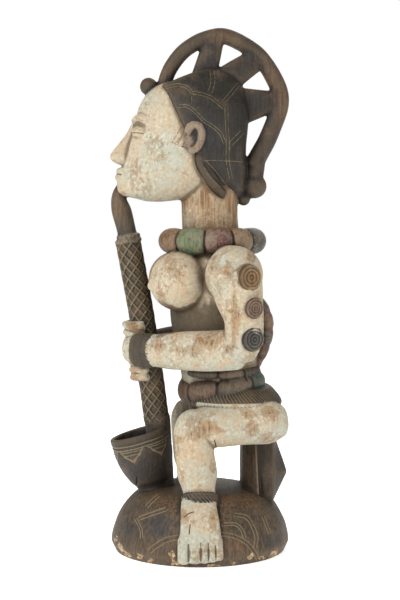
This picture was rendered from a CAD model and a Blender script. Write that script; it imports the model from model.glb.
"""Looks of the seated female figure that smokes a long pipe, carved with its base from one block of wood.

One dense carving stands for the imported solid. It is joined from the same forms, smoothed where the carver
ran them together, cut with the incised lines, and painted: white kaolin over bare wood, dark stain and
coloured beads.
"""
import math

import bpy
import numpy as np
from mathutils import Matrix, Vector, noise
from mathutils.bvhtree import BVHTree


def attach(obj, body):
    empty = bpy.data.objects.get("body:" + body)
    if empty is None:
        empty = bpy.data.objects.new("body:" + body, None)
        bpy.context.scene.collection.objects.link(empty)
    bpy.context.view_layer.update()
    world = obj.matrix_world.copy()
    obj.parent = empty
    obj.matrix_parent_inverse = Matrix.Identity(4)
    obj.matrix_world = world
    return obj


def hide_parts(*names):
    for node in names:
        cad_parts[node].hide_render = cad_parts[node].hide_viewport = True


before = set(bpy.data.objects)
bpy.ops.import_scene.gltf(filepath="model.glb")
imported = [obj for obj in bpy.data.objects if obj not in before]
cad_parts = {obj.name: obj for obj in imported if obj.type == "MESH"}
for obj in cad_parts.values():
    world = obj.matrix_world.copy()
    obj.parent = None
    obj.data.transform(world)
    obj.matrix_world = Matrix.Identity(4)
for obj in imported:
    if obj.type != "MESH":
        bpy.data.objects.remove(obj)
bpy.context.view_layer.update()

# Sizes, in metres
PART = 0.001
PLINTH_RADIUS = 0.121
PLINTH_FOOT_RADIUS = 0.115
PLINTH_RIM_HEIGHT = 0.012
PLINTH_HEIGHT = 0.086
BOWL_RADIUS = 0.0405
BOWL_DEPTH = 0.052
BOWL_HEIGHT = 0.078
BOWL_WALL = 0.0065
BOWL_FOOT_RADIUS = 0.022
STEM_RADIUS = 0.0185
SINK = 0.014
GRAIN_OF_MESH = 0.0013
MOST_TRIANGLES = 194000

# The pipe's heights above the plinth, and where its stem stands, leans and bows, in parts
STEM_FOOT = 86.0
STEM_TOP = 328.0
STEM_START = 58.8
STEM_LEAN = 37.9
STEM_BOW = 2.4
FIST_FOOT = 141.0
FIST_TOP = 223.0
FINGERS = 8
# How far round the stem the fingers reach in degrees, and how that changes from one to the next
FIST_REACH = 104.0
FINGER_STEP = 2.6
FINGER_THICKNESS = 5.4
KNUCKLE_SWELL = 6.4
KNUCKLE_WANDER = 1.3
FINGER_SLANT = 3.0
BAND_FOOT = 118.0

# Cut patterns: how many to a turn or a part, and how they slant with height
LATTICE_COUNT = 8.0
LATTICE_SLANT = 1.0 / 16.0
STROKE_COUNT = 88.0
STROKE_SLANT = 0.14
ROPE_COUNT = 26.0
ROPE_SLANT = 0.16
WEAVE_COUNT = 0.225
WEAVE_SLANT = 0.24

# The eye that the side view is drawn from, and its frame in pixels
EYE_DISTANCE = 1.76
EYE_HEIGHT = 0.425
EYE_TURN = math.radians(87)
FOCAL = 1300.0
COLUMN = 200.0
ROW = 300.0
LEVEL_ROW = 235.0

SIDES = (1, -1)


def at(x, y, z):
    """A point of the pose: parts across, along and up from the top of the plinth."""
    return Vector((x * PART, y * PART, PLINTH_HEIGHT + z * PART))


HEAD = Matrix.Translation(at(0, -17, 459)) @ Matrix.Rotation(math.radians(-14), 4, "X")
MOUTH = (0, -99, 412)


def in_head(x, y, z):
    return HEAD @ (Vector((x, y, z)) * PART)


def on_plinth(radius):
    reach = min(radius / PLINTH_RADIUS, 1.0)
    return PLINTH_RIM_HEIGHT + (PLINTH_HEIGHT - PLINTH_RIM_HEIGHT) * (1.0 - reach ** 5.0) ** 0.714


# Ways of making a form

FORMS = []


def skin(label, rings):
    """A form with one skin over rings of points, and a flat face at each end."""
    count = len(rings[0])
    points = [tuple(p) for ring in rings for p in ring]
    faces = []
    for r in range(len(rings) - 1):
        low, high = r * count, (r + 1) * count
        for k in range(count):
            j = (k + 1) % count
            faces.append((low + k, low + j, high + j, high + k))
    faces.append(tuple(reversed(range(count))))
    faces.append(tuple(range(len(points) - count, len(points))))
    FORMS.append((label, points, faces))


def around(count):
    """The cosine and the sine of even steps round a circle."""
    return [(math.cos(math.tau * k / count), math.sin(math.tau * k / count)) for k in range(count)]


def smooth(rows, steps):
    """Rows of numbers read off a smooth curve through the given rows (Catmull-Rom)."""
    rows = np.array(rows, dtype=float)
    padded = np.vstack([rows[:1], rows, rows[-1:]])
    out = []
    for i in range(len(rows) - 1):
        a, b, c, d = padded[i:i + 4]
        for k in range(steps):
            t = k / steps
            out.append(0.5 * (2 * b + (c - a) * t + (2 * a - 5 * b + 4 * c - d) * t ** 2
                              + (3 * b - a - 3 * c + d) * t ** 3))
    out.append(rows[-1])
    return out


def ball(label, centre, radii, turn=None, segments=32, rows=20):
    place = Matrix.Translation(centre) @ (turn or Matrix.Identity(4))
    rings = []
    for r in range(1, rows):
        b = math.pi * r / rows
        ring = []
        for c, s in around(segments):
            spot = Vector((math.sin(b) * c * radii[0], math.sin(b) * s * radii[1], -math.cos(b) * radii[2]))
            ring.append(place @ (spot * PART))
        rings.append(ring)
    skin(label, rings)


def limb(label, stations, sides=28, flat=1.0, steps=5):
    """A tapered round bar through stations of (x, y, z, radius) in parts, with rounded ends."""
    rows = smooth(stations, steps)
    points = [at(*row[:3]) for row in rows]
    radii = [row[3] * PART for row in rows]
    rings = []
    across = None
    for i, (point, radius) in enumerate(zip(points, radii)):
        ahead = (points[min(i + 1, len(points) - 1)] - points[max(i - 1, 0)]).normalized()
        if across is None:
            across = Vector((1.0, 0.0, 0.0)) if abs(ahead.x) < 0.8 else Vector((0.0, 1.0, 0.0))
        across = (across - ahead * across.dot(ahead)).normalized()
        up = ahead.cross(across)
        rings.append([point + across * c * radius * flat + up * s * radius for c, s in around(sides)])
    start = (points[0] - points[1]).normalized()
    end = (points[-1] - points[-2]).normalized()
    head_caps, tail_caps = [], []
    for turn in (20, 45, 70):
        lift, shrink = 0.5 * math.sin(math.radians(turn)), math.cos(math.radians(turn))
        first = points[0] + start * radii[0] * lift
        last = points[-1] + end * radii[-1] * lift
        head_caps.insert(0, [first + (p - points[0]) * shrink for p in rings[0]])
        tail_caps.append([last + (p - points[-1]) * shrink for p in rings[-1]])
    skin(label, head_caps + rings + tail_caps)


def oval(centre, across, along, count, power=2.0):
    points = []
    for c, s in around(count):
        x = math.copysign(abs(c) ** (2.0 / power), c) * across
        y = math.copysign(abs(s) ** (2.0 / power), s) * along
        points.append(centre + Vector((x, y, 0.0)) * PART)
    return points


def turned(label, profile, place, segments=64):
    """A turned form with a profile of (radius, height) in metres, spun about the place's own Z axis."""
    rings = []
    for radius, height in profile:
        rings.append([place @ Vector((c * radius, s * radius, height)) for c, s in around(segments)])
    skin(label, rings)


def bead_ring(labels, centre, reach, thick, joints, pinch=0.72, tilt=0.0, full=0.0):
    """A ring of fat tubular beads, one form to a bead, each waisted where it meets the next."""
    for i, here in enumerate(joints):
        there = joints[(i + 1) % len(joints)]
        there += 360.0 if there <= here else 0.0
        rings = []
        for step in range(15):
            share = step / 14.0
            a = math.radians(here + (there - here) * share)
            out = Vector((math.sin(a), -math.cos(a), 0.0))
            middle = centre + Vector((out.x * reach[0], out.y * reach[1], out.y * tilt)) * PART
            swell = pinch + (1.0 - pinch) * math.sin(math.pi * share) ** 0.4
            tall = thick[1] * swell * (1.0 + full * max(0.0, -out.y) ** 2)
            ring = []
            for c, s in around(20):
                offset = out * c * thick[0] * swell + Vector((0.0, 0.0, s * tall))
                ring.append(middle + offset * PART)
            rings.append(ring)
        skin(labels[i], rings)


def mirrored(angles):
    return angles + [360.0 - a for a in reversed(angles) if 0.0 < a < 180.0]


# The forms, with the solid's numbers but for broader feet, finer fingers and anklets, prouder arm discs and a
# small bridge where the crest's foot runs into the hair

HOOP_ROUTE = ((-48, 530), (-46, 547), (-38, 565), (-22, 585), (2, 600), (30, 606), (58, 595), (80, 579),
              (97, 555), (107, 533), (108.5, 515), (103, 497), (92, 470), (82, 451), (72, 433))
HOOP_RADIUS = 9.6
HOOP_SWELL = 3.4
SPOKE_HALF_WIDTH = 10.0
# Each spoke: foot, top, half width at the foot and at the top
SPOKES = (((-1, 530), (19.5, 602), 18.5, 13.5), ((27, 541), (76, 575.5), 20, 15.5),
          ((50, 511.5), (106, 520), 27, 12.5))
# Level sections in the head's frame: height, half width, front, back
HEAD_SECTIONS = ((-86, 15, -70, -36), (-81, 27, -77, -14), (-68, 38, -80, 20), (-52, 46, -79, 44),
                 (-34, 51, -77, 56), (-15, 53, -76, 66), (8, 54, -75, 70), (34, 53, -76, 70),
                 (56, 47, -68, 62), (72, 36, -52, 46), (84, 16, -22, 22))
# Height, half width, hairline, back
HAIR_SECTIONS = ((-56, 24, 66, 84), (-40, 45, 42, 90), (-20, 56, 20, 87), (2, 60.5, 6, 81),
                 (20, 62.5, -13, 77), (40, 61, -29, 74), (58, 55.5, -43, 71), (68, 49, -52, 68),
                 (76, 42, -41, 64), (86, 35, -28, 59), (96, 27, -14, 53), (104, 18, 0, 43), (110, 8, 10, 28))
HAIR_FRONT = -66.0
# Height, middle, half along, half across, power
TORSO_SECTIONS = ((88, 52, 46, 58, 2.3), (118, 46, 58, 60, 2.3), (137, 30, 53, 53, 2.2),
                  (158, 26, 52, 50, 2.1), (185, 25, 53, 53, 2.1), (208, 24, 61, 56, 2.1),
                  (238, 22, 63, 60, 2.2), (270, 22, 61, 66, 2.3), (298, 24, 52, 66, 2.3),
                  (318, 22, 42, 50, 2.2), (330, 18, 38, 40, 2.0))
SPINE_ROUTE = ((70, 255), (82, 244), (88.5, 232), (91, 222), (91.5, 212), (90.5, 202), (88, 192), (84, 182),
               (79, 172), (72, 162), (62, 153))
# Each toe: place along the foot's front, radius, how far it falls short of the floor
TOE_ROW = ((-27.5, 7.8, 0), (-13.0, 7.2, 1.0), (-0.5, 6.0, 2.0), (9.8, 5.4, 3.5), (18.6, 4.9, 6.0))
# Each arm disc: across, along, height, radius, how far it stands out of the arm
DISCS = ((83, 40, 285, 16.5, 35.0), (90.5, 49, 246, 13.0, 27.5), (90, 50, 206, 15.5, 24.2))
DISC_TURN = math.radians(30)
DISC_FACING = Vector((math.cos(DISC_TURN), math.sin(DISC_TURN), 0.0))
DISC_LIFT = 1.3
ANKLET = (78.5, -4.5, -6.5)
ANKLET_LEAN = math.radians(20)
# How far back the middle of each bead ring and of the hip band lies
COLLAR_MIDDLE = 16.5
LOWER_MIDDLE = 29.5
UPPER_MIDDLE = 28.5
BAND_MIDDLE = 46.0
# Angles from the front of the joints between beads, down the left side
COLLAR_JOINTS = (0.0, 43.0, 78.0, 110.0, 137.0, 180.0)
LOWER_JOINTS = (33.0, 80.0, 132.0, 180.0)
UPPER_JOINTS = (22.0, 82.0, 122.0, 180.0)


def base_forms():
    profile = [(PLINTH_FOOT_RADIUS, 0.0), (PLINTH_FOOT_RADIUS + 0.003, PLINTH_RIM_HEIGHT * 0.45)]
    for share in np.sqrt(np.linspace(1.0, 0.002, 60)):
        profile.append((PLINTH_RADIUS * share, on_plinth(PLINTH_RADIUS * share)))
    turned("plinth", profile, Matrix.Identity(4), 180)
    rings = []
    for height in np.linspace(76.0, -24.0, 26):
        bulge = max(0.0, 1.0 - abs(height - 18.0) / (58.0 if height > 18.0 else 42.0))
        spread = 1.0 + 0.18 * bulge
        half = [(20, 56), (35, 75), (31, 80), (34, 97), (13, 98 + 20 * bulge)]
        rings.append([at(x * spread, y, height) for x, y in half]
                     + [at(-x * spread, y, height) for x, y in reversed(half)])
    skin("post", rings)


def plinth_skin(side, radius, lift):
    step = 0.0005
    drop = on_plinth(radius - step) - on_plinth(radius + step)
    outward = Vector((side * drop, 0.0, 2.0 * step)).normalized()
    return Vector((side * radius, 0.0, on_plinth(radius))) + outward * lift, outward


def leg_forms(side):
    limb("skin", [(side * 50, 104, 93, 23), (side * 50, 88, 91.5, 29), (side * 53, 56, 90, 28.5),
                  (side * 58, 19, 87, 28), (side * 61, -7, 85, 26)])
    limb("skin", [(side * 62, -9.5, 103, 14), (side * 62, -11, 97, 21.5), (side * 62, -11.5, 84, 26.4),
                  (side * 65, -11, 58, 25.8), (side * 69, -7, 26, 26.6),
                  (side * 73, -5.5, 10, 22.5), (side * 77, -4, -3, 20), (side * 80, -4, -18, 19)])
    strands = [(21.5, -8.6), (24.6, -6.0), (23.0, -3.2), (24.8, -0.4), (23.0, 2.4), (24.4, 5.2), (20.5, 8.2)]
    place = Matrix.Translation(at(side * ANKLET[0], *ANKLET[1:]))
    place = place @ Matrix.Rotation(-side * ANKLET_LEAN, 4, "Y")
    turned("anklet", [(r * PART, z * PART) for r, z in smooth(strands, 4)], place)
    stations = ((62, 17, 7, 1.5, 5), (76, 21.5, 9, 1, 6.3), (90, 23.3, 11, 2.5, 6.8), (102, 25, 10.5, 3.5, 6),
                (111, 26.5, 9.5, 3.5, 5.6), (116, 27.5, 8, 3, 5.8), (119, 27, 6, 2.5, 6))
    rings = []
    for reach, half, thick, lift, forward in smooth(stations, 4):
        centre, outward = plinth_skin(side, reach * PART, lift * PART)
        ring = []
        for c, s in around(28):
            shift = Vector((0.0, (c * half - forward) * PART, 0.0))
            ring.append(centre + shift + outward * s * thick * PART)
        rings.append(ring)
    skin("skin", rings)
    for y, radius, short in TOE_ROW:
        root = plinth_skin(side, PLINTH_RADIUS - 5.5 * PART, 4.0 * PART)[0]
        high = (root.z - PLINTH_HEIGHT) / PART
        low = radius + 1.0 + short - PLINTH_HEIGHT / PART
        across = PLINTH_RADIUS / PART
        limb("skin", [(root.x / PART, y, high, radius), (side * (across + 1.0), y, low, radius)], 16)


def arm_forms(side):
    ball("skin", at(side * 78, 40, 287), (36, 38, 39))
    limb("skin", [(side * 84, 42, 280, 35), (side * 89, 46.5, 256, 31), (side * 91.5, 52, 230, 26),
                  (side * 90, 51, 205, 25.5), (side * 87, 45, 191, 25)])
    limb("skin", [(side * 86, 43, 191, 27), (side * 72, 5, 188, 27), (side * 55, -38, 187, 25),
                  (side * 40, -65, 186, 21)], flat=0.86)
    start, end = at(side * 42.5, -63.5, 186), at(side * 30, -92, 186)
    across = (end - start).normalized().cross(Vector((0, 0, 1))).normalized()
    rings = []
    for share, radius in ((0, 20), (0.04, 23.5), (0.3, 23.6), (0.37, 22.6), (0.44, 23.5), (0.66, 23.2),
                          (0.73, 22.0), (0.8, 23), (1, 19)):
        ring = []
        for c, s in around(32):
            ring.append(start.lerp(end, share) + across * c * radius * 0.72 * PART
                        + Vector((0, 0, s * radius * PART)))
        rings.append(ring)
    skin("cuff", rings)
    limb("skin", [(side * 31, -84, 186, 19), (side * 23, -97, 186, 17)], flat=0.6)
    for i, (x, y, z, size, reach) in enumerate(DISCS):
        facing = Vector((side * DISC_FACING.x, DISC_FACING.y, 0.0))
        turn = facing.to_track_quat("Z", "Y").to_matrix().to_4x4()
        centre = at(side * x, y, z) + facing * (reach + DISC_LIFT) * PART
        profile = [(1.0, -7.0), (1.0, 2.0), (0.93, 2.8), (0.3, 3.2)]
        made = [(r * size * PART, h * PART) for r, h in profile]
        turned("disc_%d" % (i + 1), made, Matrix.Translation(centre) @ turn, 48)


def body_forms():
    rings = []
    for height, middle, along, across, power in smooth(TORSO_SECTIONS, 5):
        rings.append(oval(at(0, middle, height), across, along, 64, power))
    skin("skin", rings)
    for side in SIDES:
        ball("skin", at(side * 41, -30, 278), (38.5, 39.5, 39.5))
        ball("skin", at(side * 43, -67.5, 272), (6, 5, 6))
    rings = []
    for height, grow in smooth(((109, 0), (114, 3), (123, -1), (135, -12)), 4):
        rings.append(oval(at(0, 47, height), 68 + grow, 61 + grow, 72, 2.5))
    skin("band", rings)
    limb("band", [(0, 0, 110, 16), (0, -2, 92, 13)], flat=1.6)
    lower = mirrored(list(LOWER_JOINTS))
    upper = mirrored(list(UPPER_JOINTS))
    left = ["belt_brown", "belt_grey", "belt_blue"]
    bead_ring(left + left[::-1] + ["belt_brown"], at(0, LOWER_MIDDLE, 135.5), (50, 47), (13.5, 14), lower,
              tilt=6.5, full=0.3)
    left = ["belt_grey", "belt_brown", "belt_dark"]
    bead_ring(left + left[::-1] + ["belt_brown"], at(0, UPPER_MIDDLE, 155), (48, 45.5), (9.5, 8), upper)
    limb("neck", [(0, 17, 318, 41), (0, 14, 345, 38.5), (0, 13, 375, 38), (0, 12, 410, 39),
                  (0, 11, 430, 39)], 40)
    collar = mirrored(list(COLLAR_JOINTS))
    left = ["bead_orange", "bead_green", "bead_red", "bead_orange", "bead_blue"]
    bead_ring(left + left[::-1], at(0, COLLAR_MIDDLE, 331), (57, 56.5), (18, 18), collar)
    for i in range(5):
        first = SPINE_ROUTE[2 * i:2 * i + 3]
        radii = [8.0] + [9.3] * 3 + [8.0]
        spots = smooth(first, 2)
        limb("spine_%d" % (i + 1), [(0, y, z, r) for (y, z), r in zip(spots, radii)], 24, flat=1.2, steps=2)


def head_forms():
    rings = []
    for height, across, front, back in smooth(HEAD_SECTIONS, 5):
        ring = []
        for c, s in around(72):
            x = math.copysign(abs(c) ** 0.92, c) * across
            y = (front + back) / 2.0 + math.copysign(abs(s) ** 0.92, s) * (back - front) / 2.0
            ring.append(in_head(x, y, height))
        rings.append(ring)
    skin("skin", rings)
    rings = []
    nose = ((16, 5, -80), (0, 5.5, -83), (-20, 8, -91), (-37, 13, -98), (-44, 14, -95), (-47, 11, -86))
    for height, across, front in smooth(nose, 4):
        ring = []
        for k in range(17):
            a = math.pi * k / 16
            ring.append(in_head(-across * math.cos(a), -62 + (front + 62) * math.sin(a) ** 0.8, height))
        rings.append(ring)
    skin("skin", rings)
    for side in SIDES:
        brow = [(6, -78, 14, 4.2), (22, -72, 19, 4.6), (38, -57, 15, 4.0)]
        head_limb("skin", [(side * x, y, z, r) for x, y, z, r in brow])
        turn = HEAD.to_3x3().to_4x4() @ Matrix.Rotation(side * math.radians(28), 4, "Z")
        ball("skin", in_head(side * 23, -69, 0), (14, 7.5, 6.5), turn)
        rim = []
        for i in range(13):
            a = math.radians(-100 + 260 * i / 12.0)
            proud = 61.5 + 2.5 * math.sin(math.pi * i / 12.0)
            rim.append((side * proud, 3.4 + math.cos(a) * 10.5, 7.0 + math.sin(a) * 17.0, 4.6))
        head_limb("ear", rim)
        ball("ear_bed", in_head(side * 56, 3.4, 7), (5, 10, 16), HEAD.to_3x3().to_4x4())
        head_limb("hair", [(side * 54, 16, -10, 5), (side * 51, 22, -22, 7.5), (side * 44, 42, -40, 8.5),
                           (side * 33, 60, -54, 6.5)])
    for height, depth, thick in ((-56, -81.5, 4.6), (-64.5, -80.5, 5.0)):
        head_limb("skin", [(-17, depth + 11, height, 2.6), (-8, depth + 2, height + 0.6, thick),
                           (8, depth + 2, height + 0.6, thick), (17, depth + 11, height, 2.6)])
    rings = []
    for height, across, hairline, back in smooth(HAIR_SECTIONS, 5):
        middle = (HAIR_FRONT + back) / 2.0
        along = back - middle
        start = math.acos(max(-1.0, min(1.0, (middle - hairline) / along)))
        ring = []
        for i in range(64):
            a = start + (math.tau - 2.0 * start) * i / 63.0
            ring.append(in_head(math.sin(a) * across, middle - math.cos(a) * along, height))
        rings.append(ring)
    skin("hair", rings)
    ball("hair", at(0, -69, 538), (12, 12, 12))
    ball("hair", at(0, 72.5, 405), (16, 18, 17))
    ball("hair", at(0, 59, 387), (9, 9, 8.5))


def head_limb(label, stations, sides=20):
    """A limb given in the head's own frame."""
    world = []
    for x, y, z, radius in stations:
        spot = in_head(x, y, z)
        world.append((spot.x / PART, spot.y / PART, (spot.z - PLINTH_HEIGHT) / PART, radius))
    limb(label, world, sides)


def crest_forms():
    hoop = smooth(HOOP_ROUTE, 6)
    grown = np.linspace(0.0, 1.0, len(hoop))
    limb("crest", [(0, y, z, HOOP_RADIUS + HOOP_SWELL * g) for (y, z), g in zip(hoop, grown)], 28, steps=1)
    for low, high, wide, narrow in SPOKES:
        start, end = at(0, *low), at(0, *high)
        across = (end - start).normalized().cross(Vector((1.0, 0.0, 0.0))).normalized()
        rings = []
        for share in np.linspace(0, 1, 12):
            half = wide + (narrow - wide) * share
            ring = []
            for c, s in around(32):
                x = math.copysign(abs(c) ** 0.7, c) * SPOKE_HALF_WIDTH
                y = math.copysign(abs(s) ** 0.7, s) * half
                ring.append(start.lerp(end, share) + (Vector((x, 0.0, 0.0)) + across * y) * PART)
            rings.append(ring)
        skin("crest", rings)
    limb("crest", [(0, 76, 440, 13), (0, 73, 418, 13)])


def stem_point(height):
    share = (height - STEM_FOOT) / (STEM_TOP - STEM_FOOT)
    return at(0, -STEM_START - STEM_LEAN * share + STEM_BOW * math.sin(math.pi * share), height)


BOWL_PLACE = Matrix.Translation(at(0, -63, -3)) @ Matrix.Rotation(math.radians(15.5), 4, "X")


def pipe_forms():
    rings = []
    radius = STEM_RADIUS - 0.8 * PART
    for height in np.linspace(STEM_FOOT, STEM_TOP, 60):
        rings.append([stem_point(height) + Vector((c, s, 0.0)) * radius for c, s in around(40)])
    skin("stem", rings)
    stem = STEM_RADIUS / PART
    limb("pipe", [(0, -58.5, 92, stem * 0.97), (0, -55, 60, stem * 0.9), (0, -52, 20, stem * 0.85),
                  (0, -52, -16, stem * 0.9)])
    limb("pipe", [(0, -96.5, 322, 15.5), (0, -98.5, 342, 13), (0, -105.5, 370, 13.6), (0, -109, 385, 11.0),
                  (0, -107.5, 397, 9.2), (*MOUTH, 7.0)])
    for height, radius, half in ((337.5, 16.5, 2.6), (331.0, 18.6, 2.8)):
        profile = [(radius - 1.5, -half), (radius - 0.3, -half * 0.6), (radius, 0),
                   (radius - 0.3, half * 0.6), (radius - 1.5, half)]
        place = Matrix.Translation(at(0, -96.8, height)) @ Matrix.Rotation(math.radians(9), 4, "X")
        turned("pipe_ring", [(r * PART, z * PART) for r, z in profile], place, 48)
    fist_forms()
    rise = BOWL_HEIGHT
    swell = BOWL_RADIUS - BOWL_FOOT_RADIUS
    outside = [(BOWL_FOOT_RADIUS, -SINK), (BOWL_FOOT_RADIUS, rise * 0.05)]
    for share, opened in ((0.16, 0.31), (0.32, 0.62), (0.52, 0.87), (0.73, 0.99)):
        outside.append((BOWL_FOOT_RADIUS + swell * opened, rise * share))
    outside.append((BOWL_RADIUS, rise - 0.0015))
    inner = BOWL_RADIUS - BOWL_WALL
    floor = rise - BOWL_DEPTH
    inside = [(inner, rise - 0.001)]
    for wide, high in ((1.0, 0.6), (0.86, 0.25), (0.55, 0.02), (0.1, 0.0)):
        inside.append((inner * wide, floor + BOWL_DEPTH * high))
    lip = [(BOWL_RADIUS - 0.0015, rise), (inner + 0.001, rise)]
    turned("bowl", smooth(outside, 4) + lip + smooth(inside, 4), BOWL_PLACE, 96)


def fist_forms():
    """Eight fingers of the two fists, stacked round the front of the stem."""
    pitch = (FIST_TOP - FIST_FOOT) / FINGERS
    rings = []
    for step in range(49):
        way = step / 24.0 - 1.0
        ring = []
        for i in range(FINGERS):
            for part in range(10):
                share = part / 10.0
                height = FIST_FOOT + pitch * (i + share)
                swell = math.sin(math.pi * share) ** 0.55
                a = math.radians(way * (FIST_REACH + (i - FINGERS) * FINGER_STEP) * (0.9 + 0.1 * swell))
                out = Vector((math.sin(a), -math.cos(a), 0.0))
                proud = FINGER_THICKNESS + KNUCKLE_SWELL * swell
                proud += max(0.0, math.cos(a * 2.4 + i)) * KNUCKLE_WANDER
                proud *= (1.0 - way ** 8) ** 0.4 if abs(way) < 1.0 else 0.0
                slant = FINGER_SLANT * math.sin(a) * (1 if i < FINGERS / 2 else -1)
                spot = stem_point(height) + out * (STEM_RADIUS + (proud - 2.0) * PART)
                ring.append(spot + Vector((0.0, 0.0, slant * PART)))
        ring.append(stem_point(FIST_TOP) + out * (STEM_RADIUS + (0.5 * proud - 2.0) * PART))
        ring.append(stem_point(FIST_TOP - 1.0) + out * STEM_RADIUS * 0.5)
        ring.insert(0, stem_point(FIST_FOOT + 1.0) + out * STEM_RADIUS * 0.5)
        rings.append(ring)
    skin("fist", rings)


base_forms()
for side_sign in SIDES:
    leg_forms(side_sign)
    arm_forms(side_sign)
body_forms()
head_forms()
crest_forms()
pipe_forms()


# One skin over all the forms, eased where flesh runs into flesh

def whole(name, points, faces):
    mesh = bpy.data.meshes.new(name)
    mesh.from_pydata(points, [], faces)
    thing = bpy.data.objects.new(name, mesh)
    bpy.context.scene.collection.objects.link(thing)
    return thing


def applied(thing):
    """The thing's mesh with its modifiers applied."""
    bpy.context.view_layer.update()
    graph = bpy.context.evaluated_depsgraph_get()
    return bpy.data.meshes.new_from_object(thing.evaluated_get(graph))


def column(source, name, width, kind=np.float32):
    values = np.empty(len(source) * width, dtype=kind)
    source.foreach_get(name, values)
    return values.reshape(-1, width) if width > 1 else values


ALL_POINTS = []
ALL_FACES = []
FACE_LABELS = []
LABELS = sorted({label for label, _, _ in FORMS})
for label, form_points, form_faces in FORMS:
    base = len(ALL_POINTS)
    ALL_POINTS.extend(form_points)
    ALL_FACES.extend(tuple(base + i for i in face) for face in form_faces)
    FACE_LABELS.extend([LABELS.index(label)] * len(form_faces))
FACE_LABELS = np.array(FACE_LABELS)


def label_of(points):
    """The form that each point lies on, as a place in LABELS."""
    tree = BVHTree.FromPolygons(ALL_POINTS, ALL_FACES)
    nearest = [tree.find_nearest(point)[2] for point in points.tolist()]
    return FACE_LABELS[np.array(nearest)]


def among(labels, *names):
    """Whether each point is on one of the named forms; a name stands for all labels that start with it."""
    names = names[0] if isinstance(names[0], tuple) else names
    wanted = [i for i, label in enumerate(LABELS) if label.startswith(names)]
    return np.isin(labels, wanted)


def relaxed(points, edges, stiff, rounds):
    """Points eased towards the middle of their neighbours; stiff is how much of its place a point keeps."""
    count = len(points)
    around = np.maximum(np.bincount(edges.ravel(), minlength=count), 1)[:, None]
    for _ in range(rounds):
        total = np.empty_like(points)
        for axis in range(3):
            one = np.bincount(edges[:, 0], weights=points[edges[:, 1], axis], minlength=count)
            other = np.bincount(edges[:, 1], weights=points[edges[:, 0], axis], minlength=count)
            total[:, axis] = one + other
        points = points * stiff[:, None] + total / around * (1.0 - stiff[:, None])
    return points


rough = whole("rough", ALL_POINTS, ALL_FACES)
joiner = rough.modifiers.new("Join", "REMESH")
joiner.mode = "VOXEL"
joiner.voxel_size = GRAIN_OF_MESH
carving_mesh = applied(rough)
bpy.data.objects.remove(rough, do_unlink=True)

place = column(carving_mesh.vertices, "co", 3).astype(float)
edges = column(carving_mesh.edges, "vertices", 2, np.int32)
labels = label_of(place)
FLESH_STIFFNESS = 0.45
STAINED_STIFFNESS = 0.75
EASING_ROUNDS = 6
FLAT_UNDERSIDE = 0.0009
flesh = among(labels, "skin", "neck", "ear", "fist")
place = relaxed(place, edges, np.where(flesh, FLESH_STIFFNESS, STAINED_STIFFNESS), EASING_ROUNDS)
smooth_flesh = among(labels, "skin", "neck")
place = relaxed(place, edges, np.where(smooth_flesh, FLESH_STIFFNESS, 1.0), EASING_ROUNDS)
place[:, 2] = np.where(place[:, 2] < FLAT_UNDERSIDE, 0.0, place[:, 2])
EYE = np.array((EYE_DISTANCE * math.sin(EYE_TURN), -EYE_DISTANCE * math.cos(EYE_TURN), EYE_HEIGHT))
LOOK = Vector((0.0, 0.0, EYE_HEIGHT - EYE_DISTANCE * (ROW - LEVEL_ROW) / FOCAL)) - Vector(EYE)
EYE_AXES = np.array(LOOK.to_track_quat("-Z", "Y").to_matrix())


def drawing(points):
    """Where points land in the side view: column, row, millimetres to a step, and the way to the eye.

    The right side is drawn as the mirror of the left one.
    """
    near = points.copy()
    near[:, 0] = np.abs(near[:, 0])
    away = near - EYE
    across, up, depth = (away @ EYE_AXES).T
    scale = -FOCAL / depth
    to_eye = -away / np.linalg.norm(away, axis=1)[:, None]
    return COLUMN + across * scale, ROW - up * scale, 1000.0 / scale, to_eye


def off_line(line, a, b):
    """Distance of the points (a, b) from a line through several stops."""
    best = np.full(len(a), 1e9)
    for (a0, b0), (a1, b1) in zip(line, line[1:]):
        run, rise = a1 - a0, b1 - b0
        share = np.clip(((a - a0) * run + (b - b0) * rise) / (run * run + rise * rise), 0.0, 1.0)
        best = np.minimum(best, np.hypot(a - a0 - run * share, b - b0 - rise * share))
    return best


def beside(line, step):
    """The same line moved aside, for the second of a pair."""
    moved = []
    for i, stop in enumerate(line):
        before, after = np.array(line[max(i - 1, 0)]), np.array(line[min(i + 1, len(line) - 1)])
        run, rise = (after - before) / np.linalg.norm(after - before)
        moved.append((stop[0] - rise * step, stop[1] + run * step))
    return moved


# Lines of the hair, in the side view
HAIR_PAIRS = (
    (((166, 91), (173, 106), (180, 121)), 2.6),
    (((165.5, 89), (176, 86), (186, 88), (191, 94), (191.5, 103)), -2.6),
    (((177, 105), (186, 104.5), (194, 109), (200, 115), (205, 120), (211, 123.5), (218, 129), (223, 135),
      (226, 143)), 2.6),
    (((193, 91), (203, 92.5), (212, 96), (220, 102.5), (225, 107)), 2.8),
    (((240, 85), (232, 95), (224, 104)), 3.4),
    (((210, 70), (211, 81), (208, 92)), -4.0),
    (((225, 107), (225.5, 124), (226.5, 142), (226.5, 161), (230, 180)), -3.0),
)
HAIR_SINGLES = (
    ((202, 161), (218, 160.5), (243, 162)),
    ((202.5, 163), (208, 175), (217, 184), (226, 192)),
    ((207, 162), (218, 174), (230, 190)),
    ((241, 131), (229, 143)),
    ((245, 133), (229.5, 149)),
)
SIDEBURN = (
    ((181, 127), (172.5, 142)),
    ((185, 129), (177.5, 144.5)),
    ((188.5, 131), (183, 146)),
    ((192, 136), (188, 147.5)),
    ((171, 142), (180, 146), (192, 149)),
)
STRAP_SPLIT = ((204, 163), (213, 176), (226, 190))
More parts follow.
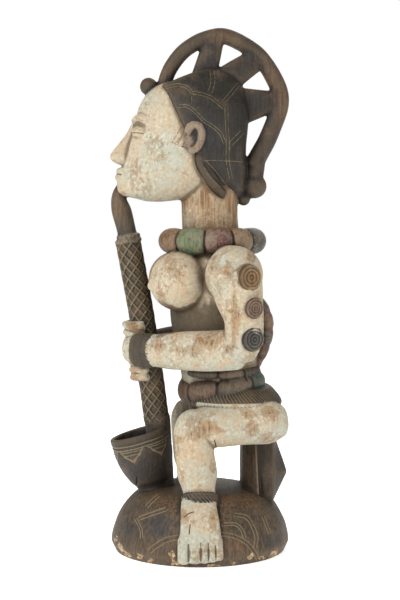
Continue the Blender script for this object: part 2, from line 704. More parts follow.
# Lines of the plinth, in the side view
PLINTH_PAIRS = (
    (((139.5, 520), (153, 515), (166, 510.5)), -3.2),
    (((147, 550), (156, 543), (166, 537.5), (178, 535)), 4.6),
    (((136, 518), (141.5, 529), (142.5, 538)), 2.2),
    (((145, 506), (150, 500), (157, 493.5)), 3.0),
    (((219, 532), (234, 534.5), (247, 541), (256, 551), (260, 559)), 3.6),
    (((234, 516), (246, 518.5), (252, 528), (255, 538), (253.5, 548)), -3.2),
    (((224, 523), (236, 523), (243, 529), (246, 538)), 2.6),
    (((265, 516), (271.5, 533)), 2.6),
)
# Cuts between the toes, cracks and the groove of the post, in the side view
TOE_CUTS = (((188.5, 545), (188.7, 567)), ((201, 543), (201, 567)), ((208.5, 544), (208.8, 567)),
            ((215.5, 546), (216.5, 565)))
CRACKS = (
    (((184, 517), (188, 513.5), (194, 511.5)), "skin"),
    (((214.5, 441), (216, 447), (215, 453)), "skin"),
    (((137, 477), (136.6, 485)), "bowl"),
    (((190, 524), (189, 534)), "skin"),
    (((219, 505), (220, 517)), "plinth"),
    (((217, 563), (220, 567)), "skin"),
)
POST_GROOVE = ((258.5, 443), (260, 470), (262.5, 509))

carving_mesh.vertices.foreach_set("co", place.ravel())
carving_mesh.update()
normal = column(carving_mesh.vertices, "normal", 3).astype(float)
u, v, mm, to_eye = drawing(place)
mirrored_normal = normal * np.where(place[:, :1] < 0.0, (-1.0, 1.0, 1.0), (1.0, 1.0, 1.0))
faces_eye = np.clip(((mirrored_normal * to_eye).sum(axis=1) - 0.12) * 6.0, 0.0, 1.0)
chalk = np.zeros(len(place))
soot = np.zeros(len(place))
scrap = np.zeros(len(place))
sunk = np.zeros(len(place))


def groove(distance, where, width=1.7, depth=0.9, mark=chalk, full=1.0):
    """Sinks a groove along a distance of nought, in millimetres, and marks its bed for the paint."""
    bed = np.exp(-(distance / (0.6 * width)) ** 2) * where
    np.maximum(mark, bed * full, out=mark)
    np.maximum(sunk, bed * depth, out=sunk)


def drawn(line, where, width=1.7, depth=0.9, mark=chalk, full=1.0):
    curve = smooth(line, 5) if len(line) > 2 else line
    here = where & (faces_eye > 0.0)
    chosen = np.flatnonzero(here)
    distance = np.full(len(place), 99.0)
    distance[chosen] = off_line(curve, u[chosen], v[chosen]) * mm[chosen]
    groove(distance, faces_eye * here, width, depth, mark, full)


def spin(x, y):
    """Angle round an upright axis from the front, in turns, and the distance from it."""
    return np.arctan2(x, -y) / math.tau, np.hypot(x, y)


def hatch(turns, height, count, pitch, lean):
    """Distance in millimetres from a set of slanting lines; pitch is the millimetres between two of them."""
    phase = turns * count + lean * height
    return np.abs(phase - np.round(phase)) * pitch


wander = np.array([noise.noise(Vector(p) * 45.0) for p in place.tolist()])
hair_zone = among(labels, "hair") & (v < 200.0)
HAIR_CUT = (1.3, 0.8, chalk, 0.75)
for line, step in HAIR_PAIRS:
    drawn(line, hair_zone, *HAIR_CUT)
    drawn(beside(line, step), hair_zone, *HAIR_CUT)
    drawn(beside(line, 0.5 * step), hair_zone, 2.4, 0.0, soot, 0.5)
for line in HAIR_SINGLES:
    drawn(line, hair_zone, *HAIR_CUT)
drawn(STRAP_SPLIT, hair_zone, 3.0, 1.6, soot)
for line in SIDEBURN:
    drawn(line, among(labels, "skin", "hair"), 1.3, 0.5, soot, 0.7)
wash = np.exp(-((u - 181.5) / 11.0) ** 2 - ((v - 138.0) / 8.5) ** 2)
np.maximum(soot, 0.5 * wash * faces_eye * among(labels, "skin", "hair"), out=soot)
plinth = among(labels, "plinth")
PLINTH_CUT = (1.5, 0.9, chalk, 0.9)
for line, step in PLINTH_PAIRS:
    drawn(line, plinth, *PLINTH_CUT)
    drawn(beside(line, step), plinth, *PLINTH_CUT)
    drawn(beside(line, 0.5 * step), plinth, 3.0, 0.0, soot, 0.55)
for line in TOE_CUTS:
    drawn(line, among(labels, "skin") & (v > 540.0), 2.0, 1.5, soot, 0.6)
for line, zone in CRACKS:
    drawn(line, among(labels, zone), 1.3, 1.6, soot)
drawn(POST_GROOVE, among(labels, "post"), 3.6, 2.6, soot)
drawn(beside(POST_GROOVE, 3.0), among(labels, "post"), 1.6, 0.4)

# The stem's lattice, in turns round the stem and height
height = (place[:, 2] - PLINTH_HEIGHT) / PART
share = (height - STEM_FOOT) / (STEM_TOP - STEM_FOOT)
stem_y = (-STEM_START - STEM_LEAN * share + STEM_BOW * np.sin(math.pi * share)) * PART
turns, _ = spin(place[:, 0], place[:, 1] - stem_y)
stem = among(labels, "stem")
wavy = height + 2.6 * wander
for lean in (LATTICE_SLANT, -LATTICE_SLANT):
    groove(hatch(turns + 0.012 * wander, wavy, LATTICE_COUNT, 11.5, lean), stem, 1.5, 1.3, scrap)

# Two bands and a row of nested Vs round the bowl
in_bowl = np.array(BOWL_PLACE.inverted())
local = place @ in_bowl[:3, :3].T + in_bowl[:3, 3]
turns, reach = spin(local[:, 0], local[:, 1])
below = (BOWL_HEIGHT - local[:, 2]) / PART + 0.8 * wander
outside = among(labels, "bowl") & (reach > BOWL_RADIUS - BOWL_WALL * 0.6)
for depth_down in (10.5, 15.5):
    groove(np.abs(below - depth_down), outside)
V_COUNT = 6.0
V_TOP = 17.0
V_DEPTH = 17.0
V_HALF_WIDTH = 0.42
sector = (turns * V_COUNT - 0.6) % 1.0 - 0.5
for inset in (0.0, 4.6):
    arm = V_TOP + inset + (1.0 - np.abs(sector) / V_HALF_WIDTH) * (V_DEPTH - 1.7 * inset)
    inside_v = outside & (np.abs(sector) < V_HALF_WIDTH - 0.02 * inset)
    groove(np.abs(below - arm) * 0.75, inside_v)
    groove(np.abs(below - V_TOP - 1.5 - inset), inside_v, 1.5, 0.7)

# Rings of the arm discs, the rope of the anklets and the strokes of the hip band and the cuffs
near = place.copy()
near[:, 0] = np.abs(near[:, 0])
for i, (x, y, z, size, reach) in enumerate(DISCS):
    centre = np.array(at(x, y, z) + DISC_FACING * (reach + DISC_LIFT) * PART)
    offset = near - centre
    along = offset @ np.array(DISC_FACING)
    radius = np.linalg.norm(offset - along[:, None] * np.array(DISC_FACING), axis=1) / PART
    zone = among(labels, "disc_%d" % (i + 1))
    for ring in (0.3, 0.55, 0.8):
        groove(np.abs(radius - ring * size), zone, 1.4, 0.8, scrap)
tilt = np.array(Matrix.Rotation(ANKLET_LEAN, 3, "Y"))
local = (near - np.array(at(*ANKLET))) @ tilt.T
turns, _ = spin(local[:, 0], local[:, 1])
distance = hatch(turns, local[:, 2] / PART, ROPE_COUNT, 5.2, ROPE_SLANT)
groove(distance, among(labels, "anklet"), 1.3, 0.7, scrap)
turns, _ = spin(place[:, 0], place[:, 1] - BAND_MIDDLE * PART)
distance = hatch(turns + 0.004 * wander, height, STROKE_COUNT, 5.0, STROKE_SLANT)
groove(distance, among(labels, "band"), 1.3, 0.7, scrap)
for lean in (WEAVE_SLANT, -WEAVE_SLANT):
    distance = hatch(place[:, 1] / PART, height + wander, WEAVE_COUNT, 4.0, lean)
    groove(distance, among(labels, "cuff"), 1.1, 0.45, scrap)

# Dark joints between the beads
for joints, middle, zone in ((COLLAR_JOINTS, COLLAR_MIDDLE, among(labels, "bead")),
                             (LOWER_JOINTS, LOWER_MIDDLE, among(labels, "belt") & (height < 148.0)),
                             (UPPER_JOINTS, UPPER_MIDDLE, among(labels, "belt") & (height > 146.0))):
    across, along = place[:, 0] / PART, place[:, 1] / PART - middle
    for joint in mirrored(list(joints)):
        a = math.radians(joint)
        ahead = across * math.sin(a) - along * math.cos(a) > 0.0
        groove(np.abs(across * math.cos(a) + along * math.sin(a)), zone & ahead, 2.2, 1.3, soot, 0.95)

# The face: lowered lids, the line between the lips and pigment on the brows
face = (place - np.array(HEAD.translation)) @ np.array(HEAD.to_3x3()) / PART
face_zone = among(labels, "skin") & (height > 380.0) & (face[:, 1] < -40.0)
for side in SIDES:
    across = (face[:, 0] - side * 23.0) / 13.0
    lid = np.abs(face[:, 2] + 1.5 + 1.8 * (1.0 - across ** 2))
    groove(lid, face_zone & (np.abs(across) < 0.95), 1.5, 0.9, soot, 0.85)
    brow_line = np.abs(face[:, 2] - 17.5 + 3.5 * ((np.abs(face[:, 0]) - 20.0) / 15.0) ** 2)
    groove(brow_line, face_zone & (np.abs(np.abs(face[:, 0]) - 21.0) < 16.0), 2.6, 0.15, soot, 0.55)
lips = face_zone & (np.abs(face[:, 0]) < 16.0) & (face[:, 1] < -66.0)
groove(np.abs(face[:, 2] + 60.0), lips, 1.6, 0.9, soot, 0.8)

# Chips along the plinth's rim, where the raw wood shows, in the side view: middle, half sizes
CHIPS = ((114, 542, 4, 7), (119, 549, 5, 5), (127, 554, 5, 4), (139, 558, 4, 4), (150, 562, 3, 3),
         (172, 557, 4, 9), (177, 563, 3, 6), (216, 567, 9, 2), (234, 564, 4, 2), (252, 557, 4, 4),
         (262, 559, 5, 2.5), (275, 553, 5, 2))
torn = np.array([noise.noise(Vector(p) * 160.0) for p in place.tolist()])
rim = plinth * np.clip(1.25 - place[:, 2] / PLINTH_RIM_HEIGHT, 0.0, 1.0)
ragged = np.array([noise.noise(Vector((p[0] * 34.0, p[1] * 34.0, 0.5))) for p in place.tolist()])
raw = np.clip((ragged - 0.22) * 5.0 + torn, 0.0, 1.0) * rim
for cu, cv, ru, rv in CHIPS:
    spot = 1.25 - ((u - cu) / ru) ** 2 - ((v - cv) / rv) ** 2
    chip = np.clip(spot + 0.7 * wander + 1.3 * torn, 0.0, 1.0)
    raw = np.maximum(raw, chip * plinth * faces_eye * (spot > -0.6))
# The knife's small unevenness, which is larger on the plinth
sunk = sunk + raw * 1.6 + 0.35 * (wander + 0.5) * (~plinth) + 0.8 * (wander + 0.5) * plinth
steady = place[:, 2] < 0.0012
place = place - normal * np.where(steady, 0.0, sunk)[:, None] * PART
carving_mesh.vertices.foreach_set("co", place.ravel())
carving_mesh.update()

# Ridges that hands rub and hollows that hold dirt, from the height over an eased copy
eased = relaxed(place, edges, np.zeros(len(place)), 24)
proud = ((place - eased) * normal).sum(axis=1) / PART


def field(mesh, name, values):
    made = mesh.attributes.new(name, "FLOAT", "POINT")
    made.data.foreach_set("value", np.ascontiguousarray(values, dtype=np.float32))


for name, values in (("chalk", chalk), ("soot", soot), ("raw", raw), ("proud", np.clip(proud, -1.5, 1.5))):
    field(carving_mesh, name, values)
carving = bpy.data.objects.new("figure_carving", carving_mesh)
bpy.context.scene.collection.objects.link(carving)
thin = carving.modifiers.new("Thin", "DECIMATE")
thin.ratio = MOST_TRIANGLES / (2.0 * len(carving_mesh.polygons))
final_mesh = applied(carving)
carving.modifiers.clear()
carving.data = final_mesh
final_mesh.shade_smooth()

# Where each paint lies

COLOURS = {
    "hair": "#322e28", "crest": "#352e26", "plinth": "#5e4e3b", "post": "#41372b", "stem": "#332b22",
    "pipe": "#4e4436", "pipe_ring": "#5c5242", "bowl": "#39332c", "anklet": "#3f3a34", "cuff": "#3a3835",
    "band": "#4a3f33", "belt_brown": "#5c4638", "belt_dark": "#453a31", "belt_grey": "#544c41",
    "belt_blue": "#466057", "bead_orange": "#8f6440", "bead_green": "#66805a", "bead_red": "#6b3533",
    "bead_blue": "#3f464c", "spine_1": "#533d38", "spine_2": "#8d5638", "spine_3": "#273442",
    "spine_4": "#63392f", "spine_5": "#7d5a3c", "disc_1": "#9c6d38", "disc_2": "#7e5a4e", "disc_3": "#293846",
    "ear": "#a58570", "ear_bed": "#70483f", "skin": "#cdc4b2", "fist": "#cdc4b2", "neck": "#a08a6a",
}
# How dusty each kind of bead is with rubbed kaolin
DUSTY = (("bead", 0.42), ("disc", 0.4), ("spine", 0.3), ("belt", 0.22), ("pipe_ring", 0.4), ("ear", 0.5))


def linear(colour):
    """A hex colour turned from sRGB to linear."""
    parts = [int(colour[i:i + 2], 16) / 255.0 for i in (1, 3, 5)]
    return tuple(c / 12.92 if c <= 0.04045 else ((c + 0.055) / 1.055) ** 2.4 for c in parts) + (1.0,)


def tree_of(wanted):
    chosen = [face for face, label in zip(ALL_FACES, FACE_LABELS) if wanted[label]]
    return BVHTree.FromPolygons(ALL_POINTS, chosen)


CHALKY = ("skin", "fist", "neck")
place = column(final_mesh.vertices, "co", 3).astype(float)
normal = column(final_mesh.vertices, "normal", 3).astype(float)
labels = label_of(place)
white_tree = tree_of([label in CHALKY for label in LABELS])
dark_tree = tree_of([label not in CHALKY for label in LABELS])
spots = place.tolist()
to_white = np.array([white_tree.find_nearest(spot)[3] for spot in spots])
to_dark = np.array([dark_tree.find_nearest(spot)[3] for spot in spots])
over = (to_dark - to_white) / PART
height = (place[:, 2] - PLINTH_HEIGHT) / PART
low_band = among(labels, "band") & (np.abs(place[:, 0]) > 0.045)
over = np.where(low_band, np.maximum(over, BAND_FOOT - height), over)
field(final_mesh, "white", np.clip(over, -4.0, 4.0))

tint = np.array([linear(COLOURS[label]) for label in LABELS])[labels]
tint[:, 3] = 0.0
for name, dust in DUSTY:
    tint[among(labels, name), 3] = dust
zones = [among(labels, name) for name in ("stem", "cuff", "disc", ("band", "anklet"))]
zones = np.stack(zones, axis=1).astype(float)
for name, values in (("tint", tint), ("zones", zones)):
    made = final_mesh.attributes.new(name, "FLOAT_COLOR", "POINT")
    made.data.foreach_set("color", np.ascontiguousarray(values, dtype=np.float32).ravel())

# How shut in each point is, from short rays sent out around it
REACH_OF_RAYS = 0.06
RAYS = 10
solid = BVHTree.FromPolygons(spots, [tuple(p.vertices) for p in final_mesh.polygons])
shut = np.zeros(len(place))
for ray in range(RAYS):
    rise = 1.0 - 2.0 * (ray + 0.5) / RAYS
    a = ray * math.pi * (3.0 - math.sqrt(5.0))
    ball_point = np.array((math.cos(a), math.sin(a), 0.0)) * math.sqrt(1.0 - rise * rise) + (0.0, 0.0, rise)
    ways = normal * 1.02 + ball_point
    starts = (place + normal * 0.0006).tolist()
    for i, (start, way) in enumerate(zip(starts, ways.tolist())):
        distance = solid.ray_cast(start, way, REACH_OF_RAYS)[3]
        if distance is not None:
            shut[i] += (1.0 - distance / REACH_OF_RAYS) / RAYS
final_edges = column(final_mesh.edges, "vertices", 2, np.int32)
shut = relaxed(np.repeat(shut[:, None], 3, axis=1), final_edges, np.full(len(place), 0.4), 4)[:, 0]
# The belly between the belts and the breasts is dirty all over
BELLY_DIRT = 0.42
belly = among(labels, "skin") & (np.abs(place[:, 0]) < 0.062) & (place[:, 1] > -0.06)
belly = belly * np.clip((height - 150.0) / 15.0, 0.0, 1.0) * np.clip((268.0 - height) / 22.0, 0.0, 1.0)
field(final_mesh, "dirt", np.clip(shut * 1.1 + belly * BELLY_DIRT, 0.0, 1.2))

# Patches where the white has worn off, in the side view: middle, half sizes, how much; below nought it
# is whole
WORN = (
    (170, 274, 14, 9, 0.55), (164, 289, 9, 8, 0.6), (231, 270, 7, 12, 0.6), (235, 319, 5, 26, 0.75),
    (252, 256, 5, 9, 0.8), (252, 305, 12, 14, 0.5), (255, 354, 10, 6, 0.6), (188, 351, 14, 6, 0.7),
    (205, 343, 10, 6, 0.5), (231, 348, 8, 5, 0.6), (158, 343, 8, 9, 0.4), (197, 427, 22, 14, 0.55),
    (211, 414, 6, 4, 0.7), (225, 427, 6, 5, 0.5), (251, 428, 9, 10, 0.8), (248, 414, 10, 5, 0.7),
    (269, 414, 16, 9, 0.55), (231, 419, 11, 11, -0.9), (200, 464, 18, 20, -0.5), (179, 440, 6, 6, 0.5),
    (194, 453, 6, 5, 0.5), (212, 467, 4, 9, 0.6), (181, 514, 7, 7, 0.8), (200, 552, 16, 10, 0.5),
    (213, 522, 4, 10, 0.6), (132, 326, 6, 7, 0.7), (190, 300, 14, 22, -0.3), (215, 300, 14, 40, 0.25),
)
# Patches of the stain, in the side view: middle, half sizes, how brown; below nought they are blue black
STAINS = (
    (161, 526, 15, 13, -0.9), (131, 530, 10, 13, -0.7), (241, 527, 11, 9, -0.5), (272, 541, 9, 9, -0.7),
    (234, 546, 13, 9, 1.0), (173, 526, 6, 26, 0.8), (228, 499, 14, 7, 0.8), (164, 502, 12, 9, 0.7),
    (252, 503, 11, 9, 0.6), (146, 505, 9, 9, 0.3), (252, 547, 8, 9, 0.6), (150, 549, 14, 8, 0.4),
    (222, 520, 6, 14, 0.7), (208, 130, 26, 26, -0.5), (176, 95, 14, 10, 0.3), (233, 150, 9, 40, 0.3),
    (270, 80, 30, 30, 0.5), (222, 40, 20, 12, 0.6), (283, 110, 10, 30, 0.5), (170, 70, 14, 18, 0.4),
    (213, 58, 9, 12, -0.4), (258, 105, 14, 12, -0.6), (240, 71, 14, 9, -0.3), (140, 450, 25, 30, -0.5),
    (122, 440, 8, 12, 0.5), (160, 470, 12, 20, 0.3), (250, 470, 10, 30, 0.5), (274, 475, 12, 20, -0.3),
    (126, 260, 5, 60, -0.4), (148, 400, 10, 40, -0.3), (117, 205, 9, 25, 0.7), (186, 385, 9, 10, 0.6),
)
u, v, _, _ = drawing(place)
warm = np.zeros(len(place))
for cu, cv, ru, rv, much in STAINS:
    warm += np.exp(-((u - cu) / ru) ** 2 - ((v - cv) / rv) ** 2) * much
field(final_mesh, "warm", np.clip(warm, -1.0, 1.0))
facing = np.clip((np.abs(normal[:, 0]) - 0.1) * 3.0, 0.0, 1.0)
under_jaw = np.clip((height - 385.0) / 30.0, -0.3, 1.0)
bare = np.where(among(labels, "neck"), 0.85 + 0.4 * under_jaw, 0.0)
chalky_now = among(labels, "skin", "fist")
for cu, cv, ru, rv, much in WORN:
    spot = np.clip(1.3 - ((u - cu) / ru) ** 2 - ((v - cv) / rv) ** 2, 0.0, 1.0)
    bare += spot * much * facing * chalky_now
field(final_mesh, "bare", bare)


# The finish: white kaolin and dark stain over one grained wood

material = bpy.data.materials.new("painted_carved_wood")
material.use_nodes = True
tree = material.node_tree
shader = tree.nodes["Principled BSDF"]
MADD = {"operation": "MULTIPLY_ADD"}
TIMES = {"operation": "MULTIPLY"}
SMOOTH = {"interpolation_type": "SMOOTHSTEP"}
COLOUR = {"out": 2, "data_type": "RGBA"}


def add(kind, inputs, out=0, **settings):
    """A node with its settings; its inputs are numbers, hex colours or outputs. Gives one of its outputs."""
    made = tree.nodes.new("ShaderNode" + kind)
    for name, value in settings.items():
        setattr(made, name, value)
    for name, value in inputs.items():
        if isinstance(value, bpy.types.NodeSocket):
            tree.links.new(value, made.inputs[name])
        else:
            made.inputs[name].default_value = linear(value) if isinstance(value, str) else value
    return made.outputs[out]


# Millimetres from wave to wave across and along the block, then detail and roughness. Pores of the wood and
# grit of the kaolin are under 0.3 mm, too fine to show, so the grain is drawn at 3 mm and the grit at 1 mm.
PATTERNS = (
    (3.03, 41.7, 5.0, 0.6),    # streaks of the grain
    (8.33, 111.0, 3.0, 0.5),   # broad streaks, one to a few growth rings
    (1.43, 16.7, 4.0, 0.7),    # scratches up and down
    (33.3, 33.3, 6.0, 0.62),   # blotches as wide as a thumb's rub
    (91.0, 91.0, 3.0, 0.5),    # clouds of thick and thin paint
    (16.13, 16.13, 6.0, 0.66),  # mottle left by a brush or a rag
    (4.348, 4.348, 6.0, 0.7),  # speckle of flaked paint
    (1.111, 1.111, 3.0, 0.6),  # grit
)
CRACK_SPACING = 8.33
spot = add("TexCoord", {}, "Object")
patterns = []
for across, along, detail, harsh in PATTERNS:
    waves = (1.0 / (across * PART), 1.0 / (across * PART), 1.0 / (along * PART))
    scaled = add("Mapping", {"Vector": spot, "Scale": waves})
    inputs = {"Vector": scaled, "Scale": 1.0, "Detail": detail, "Roughness": harsh}
    patterns.append(add("TexNoise", inputs, "Fac"))
streaks, broad_streaks, scratches, blotches, clouds, mottle, speckle, grit = patterns
cells = add("TexVoronoi", {"Vector": spot, "Scale": 1.0 / (CRACK_SPACING * PART)}, "Distance",
            feature="DISTANCE_TO_EDGE")
marks = {}
for name in ("chalk", "soot", "raw", "proud", "white", "dirt", "warm", "bare"):
    marks[name] = add("Attribute", {}, "Fac", attribute_name=name)
tint_colour = add("Attribute", {}, "Color", attribute_name="tint")
dust = tint_colour.node.outputs["Alpha"]
zone_parts = add("Attribute", {}, "Vector", attribute_name="zones")
low_zone = zone_parts.node.outputs["Alpha"]
stem_zone, cuff_zone, disc_zone = add("SeparateXYZ", {"Vector": zone_parts}).node.outputs

# Fine painted lines, from the place on the carving: angles in turns and lengths in parts
split = add("SeparateXYZ", {"Vector": spot}).node.outputs
side_way = add("Math", {0: split["X"], 1: 1.0 / PART}, **TIMES)
out_way = add("Math", {0: side_way}, operation="ABSOLUTE")
along_way = add("Math", {0: split["Y"], 1: 1.0 / PART}, **TIMES)
up_way = add("Math", {0: split["Z"], 1: 1.0 / PART, 2: -PLINTH_HEIGHT / PART}, **MADD)


def turns_of(x, y):
    """Angle round an upright axis from the front, in turns."""
    ahead = add("Math", {0: y, 1: -1.0}, **TIMES)
    angle = add("Math", {0: x, 1: ahead}, operation="ARCTAN2")
    return add("Math", {0: angle, 1: 1.0 / math.tau}, **TIMES)


def stripes(phase, thick):
    """1 within a share of the pitch from each whole number of the phase, with ragged edges."""
    middle = add("Math", {0: phase, 1: 1.0, 2: -0.06}, **MADD)
    ragged = add("Math", {0: speckle, 1: 0.12, 2: middle}, **MADD)
    near = add("Math", {0: ragged, 1: 0.5}, operation="PINGPONG")
    return add("MapRange", {0: near, 1: thick, 2: thick * 0.45}, **SMOOTH)


STEM_LENGTH = STEM_TOP - STEM_FOOT
up_stem = add("Math", {0: up_way, 1: 1.0 / STEM_LENGTH, 2: -STEM_FOOT / STEM_LENGTH}, **MADD)
wave = add("Math", {0: add("Math", {0: up_stem, 1: math.pi}, **TIMES)}, operation="SINE")
straight = add("Math", {0: up_stem, 1: STEM_LEAN, 2: STEM_START}, **MADD)
bow = add("Math", {0: wave, 1: -STEM_BOW, 2: straight}, **MADD)
from_stem = add("Math", {0: along_way, 1: bow}, operation="ADD")
swing = add("Math", {0: clouds, 1: 0.5}, **TIMES)
stem_phase = add("Math", {0: turns_of(side_way, from_stem), 1: LATTICE_COUNT, 2: swing}, **MADD)
weave_phase = add("Math", {0: along_way, 1: WEAVE_COUNT}, **TIMES)
crossed = []
for phase, slant, thick in ((stem_phase, LATTICE_SLANT, 0.11), (weave_phase, WEAVE_SLANT, 0.1)):
    pair = [stripes(add("Math", {0: up_way, 1: lean, 2: phase}, **MADD), thick) for lean in (slant, -slant)]
    crossed.append(add("Math", {0: pair[0], 1: pair[1]}, operation="MAXIMUM"))
lattice, weave = crossed

from_band = add("Math", {0: along_way, 1: BAND_MIDDLE}, operation="SUBTRACT")
wobble = add("Math", {0: blotches, 1: 0.8}, **TIMES)
slanted = add("Math", {0: up_way, 1: STROKE_SLANT, 2: wobble}, **MADD)
band_phase = add("Math", {0: turns_of(side_way, from_band), 1: STROKE_COUNT, 2: slanted}, **MADD)
strokes = stripes(band_phase, 0.17)
lean_cos, lean_sin = math.cos(ANKLET_LEAN), math.sin(ANKLET_LEAN)
from_anklet = add("Math", {0: up_way, 1: ANKLET[2]}, operation="SUBTRACT")
across_anklet = add("Math", {0: from_anklet, 1: lean_sin, 2: -ANKLET[0] * lean_cos}, **MADD)
across_anklet = add("Math", {0: out_way, 1: lean_cos, 2: across_anklet}, **MADD)
up_anklet = add("Math", {0: from_anklet, 1: lean_cos, 2: ANKLET[0] * lean_sin}, **MADD)
up_anklet = add("Math", {0: out_way, 1: -lean_sin, 2: up_anklet}, **MADD)
rope_phase = add("Math", {0: up_anklet, 1: ROPE_SLANT}, **TIMES)
behind_anklet = add("Math", {0: along_way, 1: ANKLET[1]}, operation="SUBTRACT")
rope_phase = add("Math", {0: turns_of(across_anklet, behind_anklet), 1: ROPE_COUNT, 2: rope_phase}, **MADD)
rope = stripes(rope_phase, 0.16)
at_anklet = add("MapRange", {0: up_way, 1: 41.0, 2: 40.0}, **SMOOTH)
change = add("Math", {0: rope, 1: strokes}, operation="SUBTRACT")
band_lines = add("Math", {0: change, 1: at_anklet, 2: strokes}, **MADD)

here = add("CombineXYZ", {"X": out_way, "Y": along_way, "Z": up_way})
disc_share = 9.0
for x, y, z, size, reach in DISCS:
    top = Vector((x, y, z)) + DISC_FACING * (reach + DISC_LIFT + 2.5)
    away = add("VectorMath", {0: here, 1: top}, "Value", operation="DISTANCE")
    away = add("Math", {0: away, 1: 1.0 / size}, **TIMES)
    disc_share = add("Math", {0: away, 1: disc_share}, operation="MINIMUM")
light_rings = stripes(add("Math", {0: disc_share, 1: 3.6, 2: -0.1}, **MADD), 0.16)
dark_rings = stripes(add("Math", {0: disc_share, 1: 3.6, 2: 0.32}, **MADD), 0.2)
dark_rings = add("Math", {0: dark_rings, 1: disc_zone}, **TIMES)
fine_lines = 0.0
for pattern, strong, zone in ((lattice, 1.0, stem_zone), (weave, 0.45, cuff_zone),
                              (light_rings, 0.9, disc_zone), (band_lines, 0.7, low_zone)):
    drawn_here = add("Math", {0: pattern, 1: strong}, **TIMES)
    fine_lines = add("Math", {0: drawn_here, 1: zone, 2: fine_lines}, **MADD)


def coated(colour, layers):
    """A colour under layers: what shows each one, where that starts and is full, how much, and its colour."""
    for shown_by, low, high, much, over in layers:
        cover = add("MapRange", {0: shown_by, 1: low, 2: high}, **SMOOTH)
        cover = add("Math", {0: cover, 1: much}, **TIMES)
        colour = add("Mix", {0: cover, 6: colour, 7: over}, **COLOUR)
    return colour


# The bare wood is a soft light wood: straight grain up the block, toned by old handling
wood = coated("#73573c", ((streaks, 0.36, 0.66, 1.0, "#ab8f6c"), (broad_streaks, 0.5, 0.68, 0.6, "#8a6039")))

# Kaolin is a chalky white rubbed on wet: warm where it is thin, grey green where it lies thick, finely
# cracked, flaked and worn through to the wood, and dirty in the hollows
white = coated("#bdaf96", ((clouds, 0.42, 0.6, 1.0, "#b4b5a4"), (mottle, 0.44, 0.66, 0.6, "#bd9f7c"),
                           (streaks, 0.5, 0.75, 0.35, "#9c876a")))
thin_white = add("Mix", {0: 0.5, 6: white, 7: wood}, **COLOUR)
worn = add("Math", {0: marks["bare"], 1: 0.17}, **TIMES)
for pattern, much in ((speckle, 0.38), (blotches, 0.62), (marks["dirt"], 0.05), (marks["proud"], 0.04)):
    worn = add("Math", {0: pattern, 1: much, 2: worn}, **MADD)
jagged_cells = add("Math", {0: grit, 1: 0.04, 2: cells}, **MADD)
thick_paint = add("MapRange", {0: clouds, 1: 0.44, 2: 0.6}, **SMOOTH)
cracks = add("Math", {0: thick_paint, 1: 0.4}, **TIMES)
dirty = add("Math", {0: mottle, 1: 0.5, 2: marks["dirt"]}, **MADD)
white = coated(white, ((speckle, 0.5, 0.6, 0.35, "#9f8b6c"), (speckle, 0.44, 0.36, 0.45, "#dfd9ca"),
                       (jagged_cells, 0.045, 0.02, cracks, "#84725a")))
chalked = coated(white, ((worn, 0.53, 0.585, 1.0, thin_white), (worn, 0.61, 0.67, 0.9, wood),
                         (speckle, 0.62, 0.71, 0.6, "#5c4734"),
                         (marks["proud"], -0.08, -0.8, 0.75, "#59462f"),
                         (dirty, 0.42, 0.95, 0.86, "#4a3c2a")))

# The stain is a thin dark coat that lets the grain through, is rubbed brown on the ridges and dusty with
# kaolin; lines cut through it show the light wood
warmth = add("Math", {0: marks["warm"], 1: 1.0, 2: -0.45}, **MADD)
warmth = add("Math", {0: mottle, 1: 0.9, 2: warmth}, **MADD)
dusty = add("Math", {0: dust, 1: 0.16}, **TIMES)
for pattern in (blotches, speckle):
    dusty = add("Math", {0: pattern, 1: 0.5, 2: dusty}, **MADD)
dust_strength = add("Math", {0: dust, 1: 0.68, 2: 0.06}, **MADD)
incised = add("Math", {0: speckle, 1: 0.6, 2: marks["chalk"]}, **MADD)
coat = coated(tint_colour, (
    (warmth, 0.1, 0.9, 0.75, "#7a5b40"), (warmth, -0.1, -0.9, 0.85, "#2d3138"),
    (streaks, 0.38, 0.62, 0.62, "#1b1612"), (speckle, 0.48, 0.6, 0.4, "#191410"),
    (scratches, 0.6, 0.7, 0.28, "#7d6c55"), (blotches, 0.5, 0.66, 0.28, "#644c37"),
    (marks["proud"], 0.1, 0.9, 0.35, "#705c44"), (dusty, 0.5, 0.62, dust_strength, "#a89c85"),
    (marks["proud"], -0.12, -0.9, 0.7, "#1a1511"), (dirty, 0.42, 0.95, 0.6, "#1d1712")))
ring_cover = add("Math", {0: dark_rings, 1: 0.75}, **TIMES)
coat = add("Mix", {0: ring_cover, 6: coat, 7: "#2a2019"}, **COLOUR)
coat = coated(coat, ((incised, 0.6, 1.05, 0.75, "#85775a"),))
line_cover = add("Math", {0: speckle, 1: 1.0, 2: 0.05}, **MADD)
line_cover = add("Math", {0: fine_lines, 1: line_cover}, **TIMES)
coat = add("Mix", {0: line_cover, 6: coat, 7: "#94845f"}, **COLOUR)

# Where white meets stain the edge wanders as a brushed one does; chips show torn pale wood
edge = add("Math", {0: marks["white"], 1: 1.0, 2: -0.6}, **MADD)
edge = add("Math", {0: blotches, 1: 1.2, 2: edge}, **MADD)
sooty = add("Math", {0: speckle, 1: 0.4, 2: marks["soot"]}, **MADD)
torn_wood = add("Math", {0: blotches, 1: 0.8, 2: marks["raw"]}, **MADD)
torn_wood = add("Math", {0: speckle, 1: 1.5, 2: torn_wood}, **MADD)
chip = coated("#5f452d", ((speckle, 0.38, 0.62, 1.0, "#cdb087"),))
surface = coated(coat, ((edge, -0.25, 0.25, 1.0, chalked), (sooty, 0.55, 0.95, 0.85, "#2b2119"),
                        (torn_wood, 1.5, 1.85, 1.0, chip)))

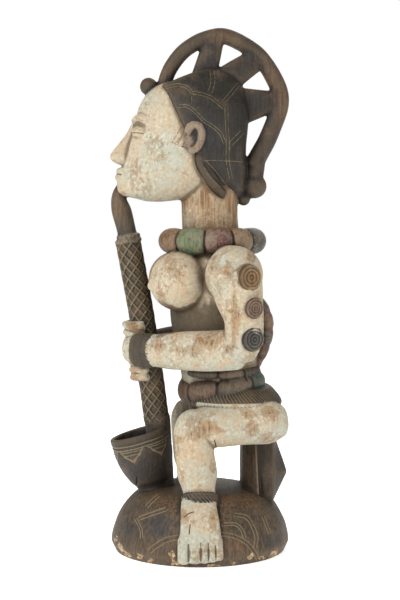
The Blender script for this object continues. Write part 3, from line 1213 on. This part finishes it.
# Handled stain has a dull sheen, at a roughness of about 0.55; kaolin is matt, at about 0.8
chalky_share = add("MapRange", {0: edge, 1: -0.25, 2: 0.25}, **SMOOTH)
harshness = add("Math", {0: grit, 1: 0.18, 2: 0.48}, **MADD)
harshness = add("Math", {0: chalky_share, 1: 0.27, 2: harshness}, **MADD)
shader.inputs["Specular IOR Level"].default_value = 0.35
worn_off = add("MapRange", {0: worn, 1: 0.53, 2: 0.66}, **SMOOTH)
relief = 0.0
for pattern, much in ((mottle, 0.9), (grit, 0.25), (speckle, 0.7), (streaks, 0.5), (worn_off, -0.6),
                      (fine_lines, -0.7)):
    relief = add("Math", {0: pattern, 1: much, 2: relief}, **MADD)
bumps = add("Bump", {"Strength": 0.75, "Distance": 1.1 * PART, "Height": relief})
for name, output in (("Base Color", surface), ("Roughness", harshness), ("Normal", bumps)):
    tree.links.new(output, shader.inputs[name])
final_mesh.materials.clear()
final_mesh.materials.append(material)

# Staging: the camera of the photograph, soft light and a pale floor

camera_data = bpy.data.cameras.new("camera")
camera = bpy.data.objects.new("camera", camera_data)
bpy.context.scene.collection.objects.link(camera)
camera_data.sensor_fit = "VERTICAL"
camera_data.sensor_height = 36.0
camera_data.lens = camera_data.sensor_height * FOCAL / (2.0 * ROW)
camera.location = EYE
camera.rotation_euler = LOOK.to_track_quat("-Z", "Y").to_euler()
bpy.context.scene.camera = camera

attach(carving, "root")
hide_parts("seated_female_figure")


def light(name, spot, aim, size, watts):
    data = bpy.data.lights.new(name, "AREA")
    data.size = size
    data.energy = watts
    lamp = bpy.data.objects.new(name, data)
    bpy.context.scene.collection.objects.link(lamp)
    lamp.location = spot
    lamp.rotation_euler = (Vector(aim) - Vector(spot)).to_track_quat("-Z", "Y").to_euler()


# Each light: place, what it is aimed at, size and watts
light("key", (1.5, -1.6, 1.7), (0.0, 0.0, 0.35), 1.2, 43.0)
light("fill", (1.6, 1.5, 0.9), (0.0, 0.0, 0.35), 1.5, 10.0)
light("back", (-1.4, 0.3, 1.4), (0.0, 0.0, 0.4), 1.2, 12.0)

# The surround is white to look at and half as strong as a lamp, so that hollows stay dark
SURROUND_AS_LAMP = 0.45
world = bpy.data.worlds.new("studio")
world.use_nodes = True
tree = world.node_tree
surround = tree.nodes["Background"]
surround.inputs["Color"].default_value = (1.0, 1.0, 1.0, 1.0)
seen = add("LightPath", {}, "Is Camera Ray")
strength = add("MapRange", {"Value": seen, "To Min": SURROUND_AS_LAMP, "To Max": 1.0})
tree.links.new(strength, surround.inputs["Strength"])
bpy.context.scene.world = world
bpy.context.scene.view_settings.view_transform = "Standard"

FLOOR_HALF = 6.0
corners = [(x * FLOOR_HALF, y * FLOOR_HALF, 0.0) for x, y in ((-1, -1), (1, -1), (1, 1), (-1, 1))]
floor = whole("floor", corners, [(0, 1, 2, 3)])
floor_material = bpy.data.materials.new("pale_floor")
floor_material.use_nodes = True
floor_shader = floor_material.node_tree.nodes["Principled BSDF"]
for name, value in (("Base Color", (0.9, 0.9, 0.9, 1.0)), ("Roughness", 0.7),
                    ("Emission Color", (1.0, 1.0, 1.0, 1.0)), ("Emission Strength", 0.64)):
    floor_shader.inputs[name].default_value = value
floor.data.materials.append(floor_material)
